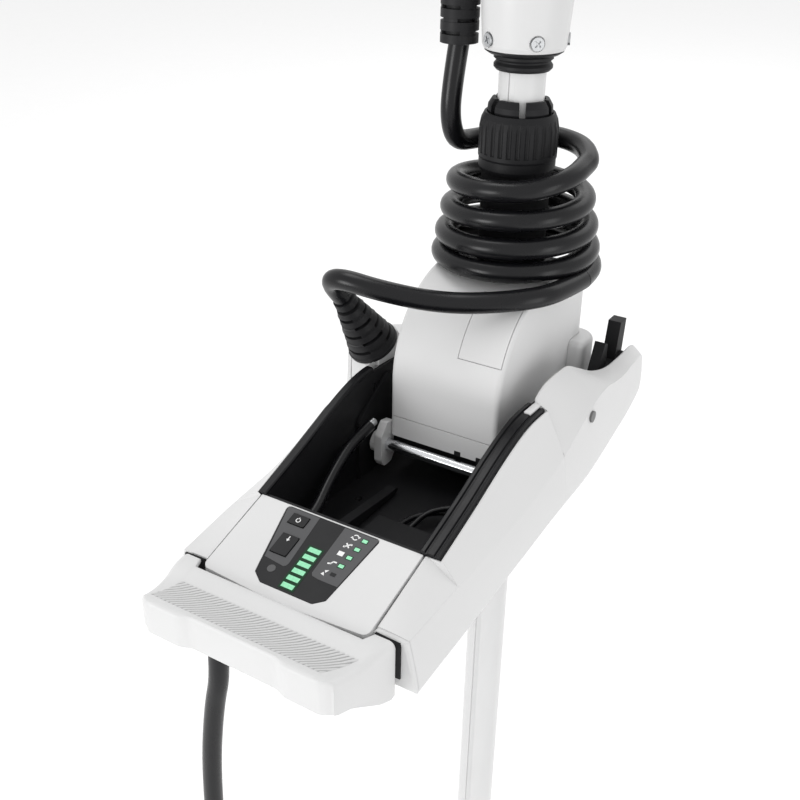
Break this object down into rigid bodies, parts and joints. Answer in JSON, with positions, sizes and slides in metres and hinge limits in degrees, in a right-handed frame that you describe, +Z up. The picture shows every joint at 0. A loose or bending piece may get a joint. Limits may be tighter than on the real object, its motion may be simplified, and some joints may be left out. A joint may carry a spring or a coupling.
{
  "type": "bow-mount trolling motor",
  "caption": "Bow-mount electric trolling motor: sloping deck mount with foot pedal, display and open bay, upright steering housing, coiled cable, steering head and submerged propeller pod.",
  "frame": {"origin": "deck plane, at the centre of the pattern of mounting bolts", "axes": "+Z up off the deck, +Y forward over the bow, +X to starboard"},
  "size_m": [0.2584, 0.5432, 1.5717],
  "materials": {
    "white_cover": "satin moulded plastic",
    "black_plastic": "fine-grained moulded plastic",
    "black_gloss": "polished edge trim",
    "cast_black": "powder-coated casting",
    "black_rubber": "soft moulded rubber",
    "cable_jacket": "smooth jacket with a low sheen",
    "chrome_steel": "polished",
    "steel": "satin stainless",
    "anodised": "satin anodised",
    "painted_white_metal": "white paint on aluminium",
    "display": "smooth dark panel",
    "light_guide": "mint lit windows",
    "circuit": "solder-mask green",
    "copper_iron": "wound laminations",
    "gear_steel": "machined",
    "brass_part": "machined"
  },
  "bodies": {
    "mount": {"base_frame": "cast_black", "battery_lights": "light_guide", "bay_wires": "cable_jacket", "bow_rests": "black_plastic", "control_board": "circuit", "deck_isolators": "black_rubber", "display_bezel": "display", "floor_plate": "black_plastic", "latch_pin": "cast_black", "mount_boot": "black_rubber", "panel_cover": "white_cover", "pedal_pins": "steel", "pedal_spring": "steel", "pivot_brackets": "cast_black", "pivot_rod": "chrome_steel", "power_cable": "cable_jacket", "power_gland": "black_rubber", "power_plug": "black_plastic", "release_cable": "cable_jacket", "rim_trims": "black_gloss", "screw_caps": "black_plastic", "side_cover_left": "white_cover", "side_cover_right": "white_cover", "status_lights": "light_guide", "tray_liner": "black_plastic"},
    "pedal": {"release_pedal": "white_cover"},
    "latch": {"latch_hook": "cast_black"},
    "power_key": {"power_button": "display"},
    "mode_key": {"mode_rocker": "display"},
    "housing": {"housing_shell": "white_cover", "access_door": "white_cover", "housing_fascia": "white_cover", "housing_skirt": "white_cover", "gearbox_casing": "cast_black", "steering_motor": "steel", "pivot_lugs": "painted_white_metal", "mount_lead": "cable_jacket", "coil_lower": "cable_jacket"},
    "pinion": {"steering_pinion": "gear_steel"},
    "steer": {"steering_column": "cast_black", "steering_gear": "gear_steel", "depth_collet": "black_plastic"},
    "collar": {"depth_knob": "black_plastic"},
    "shaft": {"shaft_tube": "painted_white_metal", "head_cup": "white_cover", "head_body": "white_cover", "head_cap": "white_cover", "head_board": "circuit", "head_gasket": "black_rubber", "head_screws": "steel", "head_boot": "black_rubber", "head_lead": "cable_jacket", "coil_upper": "cable_jacket", "motor_pod": "painted_white_metal", "motor_stator": "copper_iron", "skeg": "painted_white_metal"},
    "propeller": {"propeller": "black_plastic", "prop_nut": "steel", "rotor_shaft": "steel"}
  },
  "joints": [
    {"name": "stow", "type": "hinge", "parent": "mount", "child": "housing", "pos_m": [0, 0.045, 0.04], "axis": [1, 0, 0], "range_deg": [0, 90], "deforming": ["mount_lead"]},
    {"name": "steering", "type": "hinge", "parent": "housing", "child": "steer", "pos_m": [0, 0.15, 0.075], "axis": [0, 0, 1], "range_deg": [-180, 180]},
    {"name": "pinion_spin", "type": "hinge", "parent": "housing", "child": "pinion", "pos_m": [0, 0.096, 0.075], "axis": [0, 0, 1], "range_deg": [-360, 360]},
    {"name": "knob_turn", "type": "hinge", "parent": "steer", "child": "collar", "pos_m": [0, 0.15, 0.27], "axis": [0, 0, 1], "range_deg": [0, 90]},
    {"name": "depth_slide", "type": "slide", "parent": "steer", "child": "shaft", "axis": [0, 0, 1], "range_m": [0, 0.45]},
    {"name": "propeller_spin", "type": "hinge", "parent": "shaft", "child": "propeller", "pos_m": [0, 0.15, -0.93], "axis": [0, 1, 0], "continuous": true},
    {"name": "pedal_press", "type": "hinge", "parent": "mount", "child": "pedal", "pos_m": [0, -0.146, 0.012], "axis": [1, 0, 0], "range_deg": [0, 12], "stiffness_Nm_per_rad": 4, "springref_deg": -4.58},
    {"name": "latch_release", "type": "hinge", "parent": "mount", "child": "latch", "pos_m": [0, -0.06, 0.02], "axis": [1, 0, 0], "range_deg": [0, 3]},
    {"name": "power_button_press", "type": "slide", "parent": "mount", "child": "power_key", "axis": [0, 0.303, -0.953], "range_m": [0, 0.0008], "stiffness_N_per_m": 1500, "springref_m": -0.0004},
    {"name": "mode_rocker_press", "type": "slide", "parent": "mount", "child": "mode_key", "axis": [0, 0.303, -0.953], "range_m": [0, 0.0008], "stiffness_N_per_m": 1500, "springref_m": -0.0004}
  ],
  "couplings": [
    {"joint": "pinion_spin", "follows": "steering", "ratio": -2},
    {"joint": "latch_release", "follows": "pedal_press", "ratio": 0.25}
  ]
}
